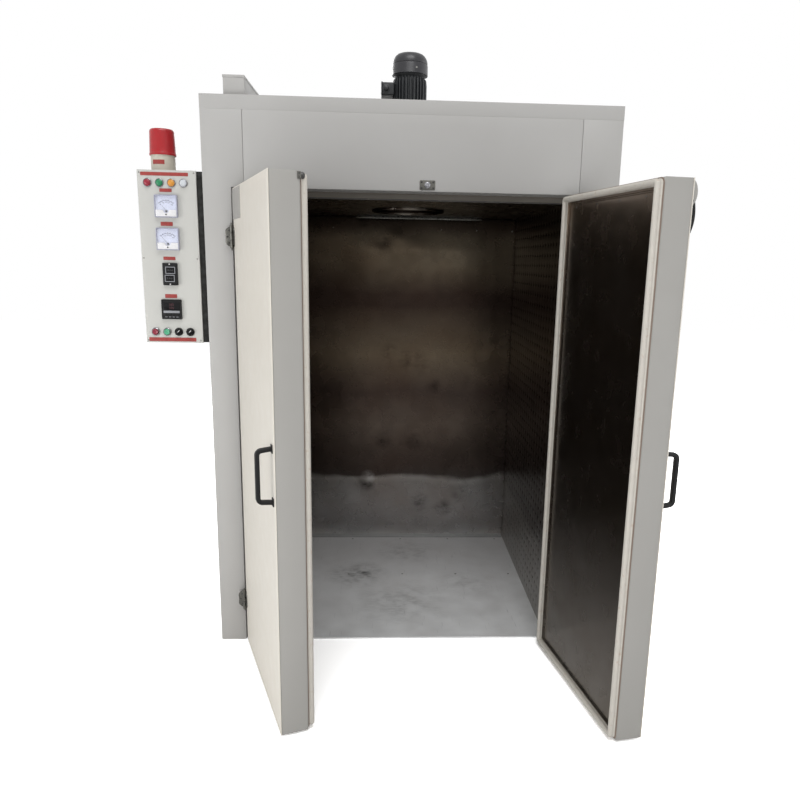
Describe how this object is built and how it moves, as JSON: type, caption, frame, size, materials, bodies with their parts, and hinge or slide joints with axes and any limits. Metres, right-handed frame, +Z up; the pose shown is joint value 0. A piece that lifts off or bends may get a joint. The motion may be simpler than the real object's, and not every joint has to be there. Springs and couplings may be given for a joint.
{
  "type": "trolley oven",
  "caption": "Walk-in hot-air trolley oven: insulated cabinet, hinged double doors, perforated side walls, roof fan with motor, side control box with beacon.",
  "frame": {"origin": "on the ground, in the middle of the cabinet's footprint without doors and control box", "axes": "+Z up, doors face -Y, +X to the right seen from the front"},
  "size_m": [1.7819, 1.9044, 2.384],
  "materials": {
    "grey_paint": "satin powder coat",
    "cream_paint": "satin powder coat",
    "stainless": "mill bright, heat tinted",
    "plain_steel": "turned",
    "black_paint": "satin",
    "chrome_plate": "polished",
    "black_rubber": "matte",
    "gasket_white": "matte",
    "black_plastic": "matte",
    "beige_plastic": "satin",
    "meter_plastic": "glossy",
    "red_lens": "glossy, clear tinted",
    "lamp_lens": "glossy",
    "red_plastic": "glossy",
    "green_plastic": "glossy"
  },
  "bodies": {
    "cabinet": {"left_side_wall": "grey_paint", "right_side_wall": "grey_paint", "back_wall": "grey_paint", "roof": "grey_paint", "left_front_post": "grey_paint", "right_front_post": "grey_paint", "header": "grey_paint", "floor_plate": "stainless", "back_liner": "stainless", "left_air_wall": "stainless", "right_air_wall": "stainless", "ceiling_sheet": "stainless", "inlet_ring": "stainless", "fan_shroud": "stainless", "fan_blades": "stainless", "fan_back_plate": "stainless", "fan_hub": "stainless", "fan_shaft": "plain_steel", "motor_flange": "black_paint", "motor_body": "black_paint", "motor_cowl": "black_paint", "motor_terminal_box": "black_paint", "roof_trunking": "grey_paint", "keeper": "chrome_plate", "left_frame_hinges": "chrome_plate", "right_frame_hinges": "chrome_plate", "control_box": "grey_paint", "control_seal": "black_rubber", "control_panel": "grey_paint", "control_pad": "black_rubber", "beacon_base": "beige_plastic", "beacon_lens": "red_lens", "pilot_lamps": "lamp_lens", "upper_meter": "meter_plastic", "lower_meter": "meter_plastic", "time_relay": "black_plastic", "temperature_controller": "black_plastic", "switch_rings": "chrome_plate"},
    "left_door": {"left_door_shell": "cream_paint", "left_door_liner": "stainless", "left_door_gasket": "gasket_white", "left_door_handle": "black_plastic", "left_door_hinges": "chrome_plate"},
    "right_door": {"right_door_shell": "cream_paint", "right_door_liner": "stainless", "right_door_gasket": "gasket_white", "right_door_handle": "black_plastic", "right_door_hinges": "chrome_plate", "latch_body": "chrome_plate"},
    "latch_lever": {"latch_lever": "black_plastic"},
    "red_button": {"red_button": "red_plastic"},
    "green_button": {"green_button": "green_plastic"},
    "left_selector": {"left_selector": "black_plastic"},
    "right_selector": {"right_selector": "black_plastic"}
  },
  "joints": [
    {"name": "left_door_hinge", "type": "hinge", "parent": "cabinet", "child": "left_door", "pos_m": [-0.648, -0.6404, 0], "axis": [0, 0, 1], "range_deg": [-94.85, 70.15]},
    {"name": "right_door_hinge", "type": "hinge", "parent": "cabinet", "child": "right_door", "pos_m": [0.648, -0.6404, 0], "axis": [0, 0, 1], "range_deg": [-100, 65]},
    {"name": "latch_lever_pivot", "type": "hinge", "parent": "right_door", "child": "latch_lever", "pos_m": [0.75377, -1.23101, 1.7], "axis": [0.1736, -0.9848, 0], "range_deg": [0, 60], "stiffness_Nm_per_rad": 0.2, "springref_deg": -11.46},
    {"name": "red_button_push", "type": "slide", "parent": "cabinet", "child": "red_button", "axis": [0, 1, 0], "range_m": [0, 0.004], "stiffness_N_per_m": 500, "springref_m": -0.001},
    {"name": "green_button_push", "type": "slide", "parent": "cabinet", "child": "green_button", "axis": [0, 1, 0], "range_m": [0, 0.004], "stiffness_N_per_m": 500, "springref_m": -0.001},
    {"name": "left_selector_turn", "type": "hinge", "parent": "cabinet", "child": "left_selector", "pos_m": [-0.861, -0.605, 1.2485], "axis": [0, 1, 0], "range_deg": [-90, 0]},
    {"name": "right_selector_turn", "type": "hinge", "parent": "cabinet", "child": "right_selector", "pos_m": [-0.819, -0.605, 1.2485], "axis": [0, 1, 0], "range_deg": [-90, 0]}
  ]
}
